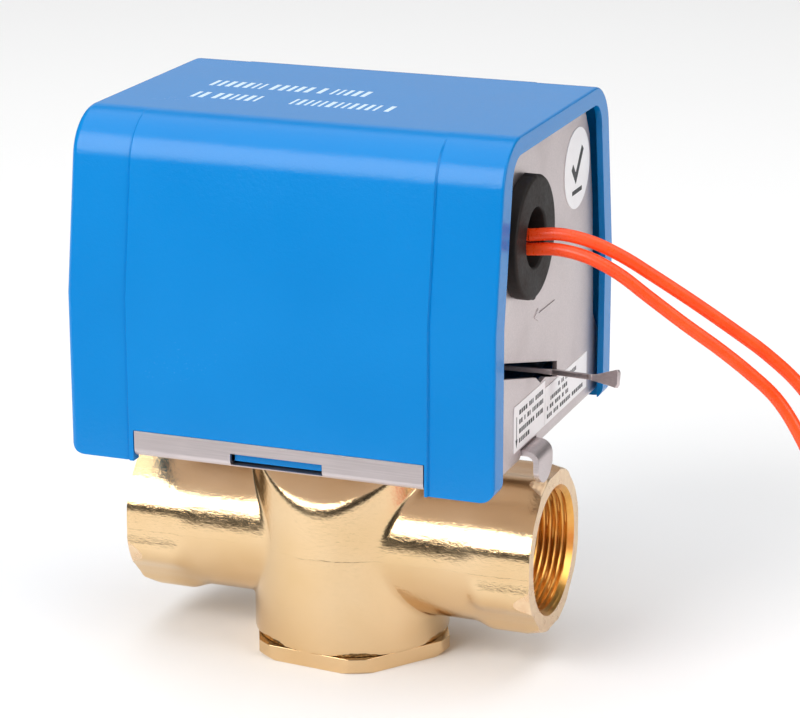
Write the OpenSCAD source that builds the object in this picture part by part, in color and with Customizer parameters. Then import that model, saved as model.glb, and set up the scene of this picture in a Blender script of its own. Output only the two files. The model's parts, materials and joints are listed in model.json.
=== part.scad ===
// Motorised zone valve: brass two-way valve body with a clip-on spring-return actuator.
// +X runs along the pipe towards the end with the label and the manual lever, +Z is up.
// The origin is the centre of the hexagon base cap's lower face, on the valve stem's axis.

/* [Valve body] */
// Distance from the stem axis to each pipe face
port_x = 43.5; // [42:0.5:48]
// Height of the pipe axis above the base
pipe_z = 24.4; // [24:0.1:25]
// Radius of the pipe stubs
pipe_r = 16; // [15.5:0.1:16.2]
// Distance between opposite flats of the eight-sided ends
collar_flats = 31.6; // [31:0.1:32]
// Minor radius of the internal pipe thread
thread_r = 12.06; // [11.9:0.01:12.2]
// Depth of the internal pipe thread
thread_len = 16; // [14:0.5:17]
// Radius of the waterway between the threads and the chamber
way_r = 9.5; // [9:0.1:10]
// Radius of the upright barrel
barrel_r = 20.1; // [19.8:0.1:20.5]
// Distance between opposite flats of the base cap
cap_flats = 39; // [38.5:0.5:40]
// Height of the base cap's hexagon
cap_h = 3.2; // [3:0.1:4]

/* [Actuator base] */
// Underside of the base plate above the origin
base_z = 47.3; // [47.3:0.1:47.5]
// Thickness of the base plate
sheet_t = 1; // [0.8:0.1:1]
// Outer face of the upright end plate
end_x = 41.2; // [41:0.1:41.4]
// Top of the end plate
end_top = 109.6; // [105:0.5:110]
// Top edge of the clip strips at the front and back
strip_top = 52.5; // [52:0.1:52.5]
// Height of the lower gear plate's underside
lower_z = 53.4; // [53.3:0.1:53.5]
// Height of the upper gear plate's underside
upper_z = 72; // [72:0.5:74]
// Thickness of both gear plates
plate_t = 1.5; // [1.2:0.1:1.5]

/* [Cover] */
// Closed end of the cover
cover_x0 = -44.9; // [-46:0.1:-44.5]
// Open end of the cover
cover_x1 = 43.4; // [43.2:0.1:44]
// Lower edge of the cover
cover_z0 = 46.3; // [45.5:0.1:46.5]
// Top of the cover
cover_z1 = 114.1; // [113:0.1:116]
// Half width of the cover below the knee
cover_hw = 37.5; // [37.4:0.1:38]
// Height of the knee where the long sides start to lean in
knee_z = 79; // [76:1:82]
// Lean of the long sides above the knee
lean = 8.5; // [8:0.1:9]
// Radius between the long sides and the top
top_r = 10; // [9:0.5:11]
// Wall thickness of the cover
wall = 2; // [1.6:0.1:2.2]
// How far the middle panel stands proud of the end bands
panel_step = 0.4; // [0.2:0.1:0.5]

/* [Drive train] */
// Module of the first gear pair
mod_1 = 1; // [1:0.1:1]
// Teeth on a whole wheel of the sector's size
sector_teeth = 50; // [50:1:50]
// Teeth on each pinion
pinion_teeth = 12; // [12:1:12]
// Module of the second gear pair
mod_2 = 0.8; // [0.8:0.1:0.8]
// Teeth on the idler's large wheel
wheel_teeth = 28; // [28:1:28]
// Pressure angle of every gear
press_angle = 25; // [25:1:25]
// Clearance taken off each tooth flank
backlash = 0.1; // [0.08:0.01:0.12]

/* [Manual lever and latch] */
// Width of the lever's strip
lever_w = 4; // [3.6:0.1:4]
// Thickness of the lever's strip
lever_t = 1; // [0.8:0.1:1]
// Tilt of the lever's plane, which sets the slope of its slot
lever_tilt = 15; // [15:1:15]
// Travel of the release latch
latch_travel = 2.6; // [2.6:0.1:2.6]

/* [Leads] */
// Diameter of each motor lead
lead_d = 2.5; // [2.2:0.1:2.6]
// Centre of the cable grommet, across and up the end plate
grommet_yz = [-16, 93]; // [-20:1:100]
// Mean radius of each tied coil of lead
coil_r = 14; // [13:0.5:15]

/* [Hidden] */
$fn = 64;

BLUE = [0.0, 0.47, 0.84];
BRASS = [0.83, 0.66, 0.34];
STEEL = [0.72, 0.70, 0.68];
ZINC = [0.62, 0.63, 0.65];
RUBBER = [0.10, 0.09, 0.09];
ORANGE = [0.93, 0.32, 0.14];
NYLON = [0.90, 0.88, 0.80];
WHITE = [0.95, 0.95, 0.94];
COPPER = [0.72, 0.42, 0.25];
TIN = [0.80, 0.81, 0.83];

// valve interior
chamber_r = 15.5;
chamber_z0 = 12;
chamber_z1 = 37;
spigot_r = 16.55;
cap_bore_r = 16.6;
neck_r = 11;
neck_top = 52;
groove_r = 8.4;
stem_r = 3;
run_fit = 0.05;
gland_r = 5;
gland_z = 43.2;
seat_sweep_r = 11.6;
shoe_sweep_r = 11.5;
rim_r = 16.6;
mouth_r = 13.4;
mouth_chamfer = mouth_r - thread_r;

// base plate
plate_x0 = -42.2;
strip_x = [-30.8, 29.3];
strip_y = cover_hw;
side_y = 34.8;
bend_r = 1.6;
neck_hole_r = neck_r + 0.3;
grommet_hole_r = 8;
screw_xy = [[-36, -30], [-36, 30], [30, -30], [30, 30]];
screw_r = 1.4;
screw_hole_r = 1.5;
spacer_r = 2.6;

// latch
latch_z = base_z + sheet_t + 0.3;
latch_t = 1.2;
latch_hole_r = 11.25;
latch_x0 = -18;
spring_stop_x = -26;
latch_rivet_x = [-14.5, 19];
tab_y = [-14.6, -5.8];
tab_x = 44.8;
tab_bottom = 42.4;

// gears
sector_z = 56;
sector_t = 2.5;
idler_dir = 150;
idler_c = mod_1 * (sector_teeth + pinion_teeth) / 2;
idler_xy = [idler_c * cos(idler_dir), idler_c * sin(idler_dir)];
motor_dir = -60;
motor_c = mod_2 * (wheel_teeth + pinion_teeth) / 2;
motor_xy = idler_xy + [motor_c * cos(motor_dir), motor_c * sin(motor_dir)];
hub_r = 6;
spring_r = 7;
spring_wire = 1.1;
post_xy = [14.7, 10.3];
pin_xy = [21.24, -6.13];
pin_r = 1.5;

// manual lever, in a plane tilted about X through its pivot
lever_out = [end_x, 4.6, 60.2];
lever_xy = [-12, -14];
lever_z = lever_out.z + tan(lever_tilt) * (lever_out.y - lever_xy.y);
lever_reach = [lever_out.x - lever_xy.x, (lever_out.y - lever_xy.y) / cos(lever_tilt)];
lever_rivet_r = 2;

// motor
motor_r = 21;
motor_z = upper_z + plate_t;
motor_ear_r = 25.5;

// leads: each route runs from the grommet's outer face to its coil, points chosen by hand
lead_a_route = [
    [44.2, -19.8, 94.4], [50, -19.5, 95], [56, -19.2, 94], [62, -19, 91.7],
    [68, -18.8, 88.5], [76, -18.6, 84], [84, -18.4, 79.2], [90, -18.2, 75.3],
    [96, -18, 70.3], [101, -18, 64], [105, -18, 56], [108, -18, 47], [110.5, -18, 37],
    [112.5, -18, 27], [114.5, -18, 18], [118, -18, 9.5], [123, -18, 4.2],
    [130, -18.8, 2], [137, -19.3, 1.9]
];
lead_b_route = [
    [44.2, -19.9, 91.7], [50, -20.3, 92.2], [56, -20.7, 91.3], [62, -21, 88.8],
    [68, -21.3, 85], [75, -21.6, 80.6], [82, -22, 76.5], [88, -22.3, 72.5],
    [93, -22.6, 68.5], [97, -23, 63.3], [100.5, -23, 56.5], [103, -23, 48],
    [105, -23, 38], [107, -23, 28], [109.5, -23, 18.5], [113, -23, 10],
    [118, -23, 4.4], [126, -23, 2.1], [137, -22.7, 1.9]
];
inner_a_route = [
    [8.2, -1, 89], [9.8, -1, 89], [14, -3, 89.3], [22, -8, 90.3], [30, -14, 92],
    [37, -18.4, 93.8], [44.2, -19.8, 94.4]
];
inner_b_route = [
    [8.2, -5, 86], [9.8, -5, 86], [14, -7, 86.2], [22, -11.5, 87.2], [30, -16, 89],
    [37, -19.2, 91], [44.2, -19.9, 91.7]
];
coil_a_xy = [137, -4];
coil_b_xy = [137, -38];
coil_lift = 0.6;
coil_w = 5.3;
coil_h = 7.9;
strip_back = 8;

// ---- shared shapes ----

function flat(lists) = [for (l = lists) for (p = l) p];
function unit(v) = v / norm(v);
function invol(a) = tan(a) * 180 / PI - a;

// half the angle that a tooth spans at radius r
function tooth_half(m, teeth, r) =
    let (
        rp = m * teeth / 2,
        rb = rp * cos(press_angle),
        rr = max(r, rb * 1.0001)
    )
    90 / teeth - backlash / rp * 180 / PI + invol(press_angle) - invol(acos(rb / rr));

// outline of the teeth numbered first to last, counted anticlockwise from angle start
function gear_points(m, teeth, start, first, last) =
    let (
        rp = m * teeth / 2,
        rf = rp - 1.25 * m,
        ra = rp + m,
        radii = [for (i = [0:4]) rf + (ra - rf) * i / 4]
    )
    flat([for (k = [first:last])
        let (mid = start + k * 360 / teeth)
        concat(
            [for (r = radii) let (a = mid - tooth_half(m, teeth, r)) [r * cos(a), r * sin(a)]],
            [for (i = [4:-1:0])
                let (r = radii[i], a = mid + tooth_half(m, teeth, r))
                [r * cos(a), r * sin(a)]]
        )
    ]);

module along_x() {
    rotate([90, 0, 90]) children();
}

module at(x, y, z) {
    translate([x, y, z]) children();
}

module tube(r_out, r_in, h) {
    difference() {
        cylinder(r = r_out, h = h);
        translate([0, 0, -1]) cylinder(r = r_in, h = h + 2);
    }
}

// tray outline with round lower corners, open towards +Y of the sketch
module tray(x0, x1, z0, r, top) {
    translate([x0 + r, z0]) square([x1 - x0 - 2 * r, top - z0]);
    translate([x0, z0 + r]) square([x1 - x0, top - z0 - r]);
    for (x = [x0 + r, x1 - r]) translate([x, z0 + r]) circle(r = r);
}

// a bent sheet's section: a tray less the same tray inset by the sheet's thickness
module bent(x0, x1, z0, top) {
    difference() {
        tray(x0, x1, z0, bend_r, top);
        tray(x0 + sheet_t, x1 - sheet_t, z0 + sheet_t, bend_r - sheet_t, top + 1);
    }
}

// round wire swept along a route of points, its rings squared to the reference direction
module swept(route, d, sides = 8, ref = [0, 1, 0.02]) {
    n = len(route);
    dirs = [for (i = [0:n - 1]) unit(route[min(i + 1, n - 1)] - route[max(i - 1, 0)])];
    rings = [for (i = [0:n - 1])
        let (s = unit(cross(ref, dirs[i])), u = cross(dirs[i], s))
        [for (k = [0:sides - 1])
            route[i] + d / 2 * (cos(k * 360 / sides) * s + sin(k * 360 / sides) * u)]
    ];
    faces = concat(
        [[for (k = [sides - 1:-1:0]) k]],
        [for (i = [0:n - 2]) for (k = [0:sides - 1])
            let (a = i * sides + k, b = i * sides + (k + 1) % sides)
            [a, b, b + sides, a + sides]],
        [[for (k = [0:sides - 1]) (n - 1) * sides + k]]
    );
    polyhedron(points = flat(rings), faces = faces, convexity = 8);
}

// ---- valve ----

module collar() {
    // eight-sided wrench end, turned down to a round rim
    intersection() {
        rotate(22.5) cylinder(r = collar_flats / 2 / cos(22.5), h = port_x, $fn = 8);
        union() {
            cylinder(r = 17.4, h = port_x - 3);
            at(0, 0, port_x - 3) cylinder(r1 = 17.2, r2 = rim_r, h = 3);
        }
        at(0, 0, 31) cylinder(r = 20, h = port_x);
    }
}

module neck() {
    difference() {
        union() {
            at(0, 0, 36) cylinder(r = 14, h = base_z - 36);
            at(0, 0, 36) cylinder(r = neck_r, h = neck_top - 36);
        }
        at(0, 0, latch_z - 0.3) tube(20, groove_r, latch_t + 0.6);
    }
}

module valve_body() {
    color(BRASS) difference() {
        union() {
            at(0, 0, pipe_z) rotate([0, 90, 0]) cylinder(r = pipe_r, h = 64, center = true);
            for (a = [0, 180]) at(0, 0, pipe_z) rotate([0, 90, a]) collar();
            intersection() {
                at(0, 0, cap_h) cylinder(r = barrel_r, h = 44 - cap_h);
                // the barrel's top is rounded across the pipe
                union() {
                    at(-30, 0, 22.8) rotate([0, 90, 0]) cylinder(r = 23, h = 60, $fn = 96);
                    at(-30, -22.9, 0) cube([60, 45.8, 22.8]);
                }
            }
            neck();
        }
        for (a = [0, 180]) at(0, 0, pipe_z) rotate([0, 90, a]) {
            at(0, 0, port_x - thread_len) cylinder(r = thread_r, h = thread_len + 1);
            at(0, 0, port_x - mouth_chamfer)
                cylinder(r1 = thread_r, r2 = mouth_r, h = mouth_chamfer);
            cylinder(r = way_r, h = port_x);
        }
        at(0, 0, chamber_z0 - 1) cylinder(r = chamber_r, h = chamber_z1 - chamber_z0 + 1);
        at(0, 0, -1) cylinder(r = cap_bore_r, h = chamber_z0 + 1);
        cylinder(r = stem_r + run_fit, h = neck_top);
        at(0, 0, gland_z) cylinder(r = gland_r, h = neck_top);
    }
}

module bottom_cap() {
    color(BRASS) difference() {
        union() {
            intersection() {
                rotate(-6) cylinder(r = cap_flats / 2 / cos(30), h = cap_h, $fn = 6);
                union() {
                    cylinder(r1 = 20.9, r2 = 21.5, h = 0.6);
                    at(0, 0, 0.6) cylinder(r = 21.5, h = cap_h - 0.6);
                }
            }
            cylinder(r = spigot_r, h = chamber_z0 - 0.5);
        }
        at(0, 0, 6.5) tube(20, 14.9, 2.5);
        at(0, 0, 7) cylinder(r = stem_r + run_fit, h = 10);
    }
}

module cap_oring() {
    color(RUBBER) at(0, 0, 7.75) rotate_extrude() translate([15.75, 0]) circle(r = 0.8, $fn = 24);
}

module seat_ring() {
    color(BRASS) difference() {
        at(6.8, 0, pipe_z) rotate([0, 90, 0]) tube(way_r, 6, 10.7);
        cylinder(r = seat_sweep_r, h = 60, $fn = 96);
    }
}

module stem_seals() {
    color(RUBBER) for (z = [gland_z + 0.9, gland_z + 2.6])
        at(0, 0, z) rotate_extrude() translate([4, 0]) circle(r = 0.8, $fn = 24);
}

module stem_bushing() {
    color(BRASS) at(0, 0, gland_z + 3.6)
        tube(gland_r, stem_r + run_fit, neck_top - gland_z - 3.6);
}

// ---- pieces that turn with the valve stem ----

stem_top = 59.5;
flat_depth = 0.8;

module stem_shape(r) {
    difference() {
        cylinder(r = r, h = stem_top - 7.5);
        at(r - flat_depth, -5, 53 - 7.5) cube([5, 10, 20]);
    }
}

module stem() {
    color(STEEL) at(0, 0, 7.5) stem_shape(stem_r);
}

module paddle_arm() {
    color(BRASS) difference() {
        union() {
            at(0, 0, pipe_z - 4.5) cylinder(r = 5, h = 9);
            at(0, -3, pipe_z - 3) cube([6, 6, 6]);
            at(5.2, 0, pipe_z) rotate([0, 90, 0]) cylinder(r = 7, h = 1.4);
        }
        at(0, 0, pipe_z - 10) cylinder(r = stem_r, h = 20);
    }
}

module rubber_shoe() {
    color(RUBBER) intersection() {
        at(6.6, 0, pipe_z) rotate([0, 90, 0]) cylinder(r = 8.2, h = 8);
        cylinder(r = shoe_sweep_r, h = 60, $fn = 96);
    }
}

module drive_hub() {
    color(NYLON) difference() {
        union() {
            at(0, 0, 52.6) cylinder(r = hub_r, h = sector_z + sector_t - 52.6);
            at(0, 0, lower_z + plate_t + 0.1) cylinder(r = 8, h = 1);
            at(0, 0, sector_z + sector_t - 1) cylinder(r = 5.2, h = 5.2);
        }
        at(0, 0, 7.5) stem_shape(stem_r);
        at(0, 0, 62) tube(8, 4.6, 0.6);
    }
}

module hub_clip() {
    color(ZINC) difference() {
        at(0, 0, 62) tube(6.4, 4.6, 0.6);
        at(0, -1.5, 61) cube([10, 3, 3]);
    }
}

module sector_gear() {
    color(ZINC) at(0, 0, sector_z) difference() {
        linear_extrude(sector_t) {
            circle(r = 9.5);
            polygon(concat(
                [[0, 0]],
                gear_points(mod_1, sector_teeth, idler_dir, -2, 10)
            ));
            hull() {
                circle(r = 5);
                translate(pin_xy) circle(r = 3.6, $fn = 32);
            }
        }
        at(0, 0, -1) cylinder(r = hub_r, h = 9);
        at(pin_xy.x, pin_xy.y, -1) cylinder(r = 1.2, h = 9);
        for (a = [165, 180, 195]) rotate(a) at(16, 0, -1) cylinder(r = 2.2, h = 9);
    }
}

module drive_pin() {
    color(STEEL) at(pin_xy.x, pin_xy.y, sector_z) {
        cylinder(r = 1.2, h = sector_t);
        at(0, 0, sector_t) cylinder(r = pin_r, h = 11);
    }
}

// torsion spring round the hub, one leg in the sector and one on its post
spring_turns = 2.5;
spring_z = sector_z + sector_t + 0.7;

function spring_path() =
    let (
        steps = 45,
        end_angle = spring_turns * 360 - 30,
        turns = [for (i = [0:steps])
            let (a = 60 + end_angle * i / steps)
            [spring_r * cos(a), spring_r * sin(a), spring_z + 2.7 * i / steps]],
        last_a = 60 + end_angle
    )
    concat(
        [[11.5 * cos(30), 11.5 * sin(30) - 3.5, spring_z]],
        turns,
        [[spring_r * cos(last_a) + 5 * -sin(last_a), spring_r * sin(last_a) + 5 * cos(last_a),
          spring_z + 2.7]]
    );

module return_spring() {
    color(STEEL) swept(spring_path(), spring_wire, 6, [0, 0, 1]);
}

module spring_post() {
    color(STEEL) at(post_xy.x, post_xy.y, lower_z) {
        cylinder(r = 1.2, h = plate_t);
        at(0, 0, plate_t) cylinder(r = 1.5, h = 9);
        at(0, 0, plate_t + 9) cylinder(r = 2.2, h = 0.8);
    }
}

// ---- actuator base ----

module end_outline() {
    polygon([
        [-34.8, 40], [34.8, 40], [34.8, 61], [31.4, 65], [31, 72], [29.6, 90], [26.8, 104],
        [23.5, end_top], [-23.5, end_top], [-26.8, 104], [-29.6, 90], [-31, 72],
        [-31.4, 65], [-34.8, 61]
    ]);
}

module lever_slot() {
    polygon([
        [-29, 68.2], [-6.2, 62.1], [-3.2, 60.2], [-0.4, 60.55], [7.4, 58.46],
        [7.4, 61.7], [-29, 71.4]
    ]);
}

module embossed_arrow() {
    // plain direction arrow pressed into the end plate
    at(end_x - 0.2, 0, 74.4) along_x() linear_extrude(0.4) {
        translate([-6, 0]) square([11, 0.6]);
        polygon([[-8, 0.3], [-5.4, 1.6], [-5.4, -1]]);
    }
}

module base_plate() {
    color(STEEL) {
        difference() {
            union() {
                intersection() {
                    rotate([90, 0, 0]) translate([0, 0, -side_y]) linear_extrude(2 * side_y)
                        bent(plate_x0, end_x, base_z, end_top + 5);
                    union() {
                        at(20, 0, 0) along_x() linear_extrude(40) end_outline();
                        at(-60, -side_y, 0) cube([30, 2 * side_y, 58]);
                        at(-50, -side_y, 0) cube([85, 2 * side_y, base_z + sheet_t]);
                    }
                }
                intersection() {
                    at(strip_x[0], 0, 0) along_x() linear_extrude(strip_x[1] - strip_x[0])
                        bent(-strip_y, strip_y, base_z, strip_top);
                    at(-50, -50, 0) cube([100, 100, strip_top]);
                }
            }
            cylinder(r = neck_hole_r, h = 60);
            // clip slots in the front and back strips
            at(-10.4, -50, base_z + 0.6) cube([19.1, 100, 2.3]);
            // way for the latch's tab through the bend
            at(end_x - 2.4, tab_y[0] - 0.5, base_z - 1) cube([5, tab_y[1] - tab_y[0] + 1, 3.8]);
            at(20, 0, 0) along_x() linear_extrude(40) lever_slot();
            at(30, grommet_yz[0], grommet_yz[1]) rotate([0, 90, 0])
                cylinder(r = grommet_hole_r, h = 20);
            for (p = screw_xy) at(p.x, p.y, 40) cylinder(r = screw_r, h = 20, $fn = 32);
            for (x = latch_rivet_x) at(x, 0, 40) cylinder(r = 1.2, h = 20, $fn = 32);
        }
        embossed_arrow();
        // stop for the latch's return spring
        at(spring_stop_x, -4, base_z + sheet_t - 0.2) cube([1, 8, 4.6]);
    }
}

module gear_plate_blank() {
    difference() {
        at(-39, -32.5, 0) cube([72, 65, plate_t]);
        for (p = screw_xy) at(p.x, p.y, -1) cylinder(r = screw_hole_r, h = 4, $fn = 32);
        at(idler_xy.x, idler_xy.y, -1) cylinder(r = 1.5, h = 4, $fn = 32);
    }
}

module lower_gear_plate() {
    color(ZINC) at(0, 0, lower_z) difference() {
        gear_plate_blank();
        at(0, 0, -1) cylinder(r = hub_r + run_fit, h = 4);
        at(post_xy.x, post_xy.y, -1) cylinder(r = 1.2, h = 4, $fn = 32);
    }
}

module upper_gear_plate() {
    color(ZINC) at(0, 0, upper_z) difference() {
        gear_plate_blank();
        at(motor_xy.x, motor_xy.y, -1) cylinder(r = 6.5, h = 4);
        for (a = [45, 225]) at(motor_xy.x, motor_xy.y, -1) rotate(a)
            at(motor_ear_r, 0, 0) cylinder(r = screw_hole_r, h = 4, $fn = 32);
    }
}

module base_spacers() {
    color(ZINC) for (p = screw_xy) at(p.x, p.y, base_z + sheet_t)
        tube(spacer_r, screw_hole_r, lower_z - base_z - sheet_t, $fn = 32);
}

module plate_spacers() {
    color(ZINC) for (p = screw_xy) at(p.x, p.y, lower_z + plate_t)
        tube(spacer_r, screw_hole_r, upper_z - lower_z - plate_t, $fn = 32);
}

module pan_screw(shank_r, shank_len, head_r, head_h) {
    difference() {
        union() {
            at(0, 0, -shank_len) cylinder(r = shank_r, h = shank_len + 0.1, $fn = 32);
            cylinder(r = head_r, h = head_h * 0.5, $fn = 32);
            at(0, 0, head_h * 0.5)
                cylinder(r1 = head_r, r2 = head_r * 0.7, h = head_h * 0.5, $fn = 32);
        }
        for (a = [0, 90]) rotate(a)
            at(-head_r * 0.6, -0.3, head_h * 0.5) cube([head_r * 1.2, 0.6, head_h]);
    }
}

module plate_screws() {
    color(ZINC) for (p = screw_xy) at(p.x, p.y, upper_z + plate_t)
        pan_screw(screw_r, upper_z + plate_t - base_z, 2.8, 1.8);
}

// ---- gear train and motor ----

module idler_axle() {
    color(STEEL) at(idler_xy.x, idler_xy.y, lower_z)
        cylinder(r = 1.5, h = upper_z + plate_t - lower_z, $fn = 32);
}

module idler_gear() {
    color(NYLON) at(idler_xy.x, idler_xy.y, 0) difference() {
        union() {
            at(0, 0, 55.8) linear_extrude(3)
                polygon(gear_points(mod_1, pinion_teeth, idler_dir + 180 + 15, 0, 11));
            at(0, 0, 58.8) cylinder(r = 4.4, h = 9.2);
            at(0, 0, 63) linear_extrude(2.5)
                polygon(gear_points(mod_2, wheel_teeth, motor_dir, 0, wheel_teeth - 1));
        }
        at(0, 0, 50) cylinder(r = 1.5 + run_fit, h = 30);
    }
}

module motor_pinion() {
    color(STEEL) at(motor_xy.x, motor_xy.y, 0) {
        at(0, 0, 62) linear_extrude(4.6)
            polygon(gear_points(mod_2, pinion_teeth, motor_dir + 180 + 15, 0, 11));
        at(0, 0, 66) cylinder(r = 2, h = motor_z + 6 - 66);
    }
}

module motor_gearcase() {
    color(ZINC) at(motor_xy.x, motor_xy.y, motor_z) difference() {
        union() {
            cylinder(r = motor_r, h = 7);
            for (a = [45, 225]) rotate(a) {
                at(motor_ear_r, 0, 0) cylinder(r = 3.6, h = 1.2);
                at(15, -3.6, 0) cube([motor_ear_r - 15, 7.2, 1.2]);
            }
        }
        at(0, 0, 1.2) cylinder(r = motor_r - 1, h = 10);
        at(0, 0, -1) cylinder(r = 2 + run_fit, h = 5);
        for (a = [45, 225]) rotate(a) at(motor_ear_r, 0, -1)
            cylinder(r = screw_hole_r, h = 5, $fn = 32);
    }
}

module motor_can() {
    color([0.75, 0.76, 0.78]) at(motor_xy.x, motor_xy.y, motor_z + 7) difference() {
        union() {
            cylinder(r = motor_r, h = 15);
            at(0, 0, 15) cylinder(r1 = motor_r, r2 = motor_r - 1.5, h = 1.5);
        }
        at(0, 0, -1) cylinder(r = motor_r - 1, h = 15.5);
    }
}

module motor_coil() {
    color(COPPER) at(motor_xy.x, motor_xy.y, motor_z + 7.5) tube(motor_r - 1.4, 11, 13.5);
}

module motor_screws() {
    color(ZINC) at(motor_xy.x, motor_xy.y, motor_z + 1.2) for (a = [45, 225]) rotate(a)
        at(motor_ear_r, 0, 0) pan_screw(screw_r, 5, 2.7, 1.6);
}

module lead_block() {
    // terminal housing on the side of the motor that the leads come out of
    color(WHITE) difference() {
        at(-1, -8, motor_z + 9) cube([9.2, 10.5, 10]);
        at(motor_xy.x, motor_xy.y, motor_z) cylinder(r = motor_r, h = 30);
    }
}

// ---- manual lever and latch ----

module in_lever_plane() {
    at(lever_xy.x, lever_xy.y, lever_z) rotate([-lever_tilt, 0, 0]) children();
}

module strip_to(from, to, w) {
    v = to - from;
    translate(from) rotate(atan2(v.y, v.x)) translate([0, -w / 2]) square([norm(v), w]);
}

lever_twist = lever_reach + [10.3, -4.3];
lever_tip_dir = -22;

module manual_lever() {
    color(STEEL) in_lever_plane() {
        difference() {
            at(0, 0, -lever_t / 2) linear_extrude(lever_t) {
                circle(r = 4.2);
                strip_to([0, 0], lever_reach, lever_w);
                translate(lever_reach) circle(r = lever_w / 2, $fn = 32);
                strip_to(lever_reach, lever_twist, 3.2);
            }
            at(0, 0, -5) cylinder(r = lever_rivet_r + run_fit, h = 10, $fn = 48);
        }
        // the strip twists a quarter turn into an upright fish-tail grip
        translate([lever_twist.x, lever_twist.y, 0]) rotate(lever_tip_dir) {
            hull() {
                at(-0.8, -1.6, -lever_t / 2) cube([0.4, 3.2, lever_t]);
                at(1, -lever_t / 2, -0.8) cube([0.4, lever_t, 1.6]);
            }
            rotate([90, 0, 0]) at(0, 0, -lever_t / 2) linear_extrude(lever_t)
                polygon([[0.8, -0.8], [5.2, -1.5], [5.6, -0.9], [5.6, 1.5], [5.2, 2.1],
                         [0.8, 0.8]]);
        }
    }
}

module lever_stud() {
    color(STEEL) {
        intersection() {
            in_lever_plane() {
                at(0, 0, -2) cylinder(r = 3.2, h = 1.3, $fn = 48);
                at(0, 0, -1) cylinder(r = lever_rivet_r, h = 10, $fn = 48);
                at(0, 0, 0.7) cylinder(r = 3.2, h = 10, $fn = 48);
            }
            at(-50, -50, 0) cube([100, 100, upper_z]);
        }
    }
}

module release_latch() {
    tab_mid = (tab_y[0] + tab_y[1]) / 2;
    tab_w = tab_y[1] - tab_y[0];
    curl_r = 2.6;
    color(STEEL) difference() {
        union() {
            at(latch_x0, -15, latch_z) cube([24 - latch_x0, 30, latch_t]);
            at(20, tab_y[0], latch_z) cube([tab_x - curl_r - 20, tab_w, latch_t]);
            // the tab curls down outside the end plate to a round end
            intersection() {
                at(tab_x - curl_r, tab_y[0], latch_z + latch_t - curl_r) rotate([-90, 0, 0])
                    tube(curl_r, curl_r - latch_t, tab_w);
                at(tab_x - curl_r, tab_y[0], latch_z + latch_t - curl_r) cube([9, tab_w, 9]);
            }
            intersection() {
                at(tab_x - latch_t, tab_y[0], tab_bottom)
                    cube([latch_t, tab_w, latch_z + latch_t - curl_r - tab_bottom]);
                at(30, tab_mid, tab_bottom + tab_w / 2 + 0.3) rotate([0, 90, 0]) union() {
                    cylinder(r = tab_w / 2 + 0.3, h = 30);
                    at(-20, -tab_w, 0) cube([20, 2 * tab_w, 30]);
                }
            }
            at(latch_x0, -4, latch_z) cube([1, 8, 4.2]);
        }
        at(latch_travel, 0, latch_z - 1) cylinder(r = latch_hole_r, h = 5, $fn = 96);
        for (x = latch_rivet_x) at(x, 0, latch_z - 1) {
            cylinder(r = 1.6, h = 5, $fn = 32);
            at(0, -1.5, 0) cube([latch_travel, 3, 5]);
            at(latch_travel, 0, 0) cylinder(r = 1.6, h = 5, $fn = 32);
        }
    }
}

module latch_rivets() {
    color(ZINC) for (x = latch_rivet_x) at(x, 0, 0) {
        at(0, 0, base_z) cylinder(r = 1.2, h = sheet_t, $fn = 32);
        at(0, 0, base_z + sheet_t) cylinder(r = 1.45, h = latch_t + 0.6, $fn = 32);
        at(0, 0, latch_z + latch_t + 0.2) cylinder(r = 2.4, h = 0.8, $fn = 32);
    }
}

module latch_spring() {
    turns = 5;
    x0 = spring_stop_x + 1.3;
    length = latch_x0 - x0 - 0.3;
    steps = turns * 12;
    color(STEEL) swept(
        [for (i = [0:steps])
            let (a = i * 30)
            [x0 + length * i / steps, 1.5 * cos(a), 51 + 1.5 * sin(a)]],
        0.5, 6, [1, 0, 0]);
}

module cable_grommet() {
    color(RUBBER) at(end_x, grommet_yz[0], grommet_yz[1]) rotate([0, 90, 0]) difference() {
        union() {
            cylinder(r = 11.6, h = 3);
            at(0, 0, 0.4) cylinder(r = 12, h = 2.2);
            at(0, 0, -1.5) cylinder(r = grommet_hole_r, h = 2);
            at(0, 0, -sheet_t - 2) cylinder(r = 10.5, h = 2);
        }
        at(0, 0, -10) cylinder(r = 5.75, h = 20);
    }
}

// ---- cover ----

// half the flat width of the top for a section of half width hw
function top_half(hw, top, r) = hw + ((knee_z - (top - r)) * sin(lean) - r) / cos(lean);

function arc(c, r, a0, a1, steps = 16) =
    [for (i = [0:steps]) let (a = a0 + (a1 - a0) * i / steps) c + r * [cos(a), sin(a)]];

// section across the cover, seen along the pipe
module cover_section(hw, top, r, bottom) {
    yc = top_half(hw, top, r);
    polygon(concat(
        [[-hw, bottom], [hw, bottom], [hw, knee_z]],
        arc([yc, top - r], r, lean, 90),
        arc([-yc, top - r], r, 90, 180 - lean),
        [[-hw, knee_z]]
    ));
}

module cover_length(x0, x1, hw, top, r, bottom) {
    at(x0, 0, 0) along_x() linear_extrude(x1 - x0) cover_section(hw, top, r, bottom);
}

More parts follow.
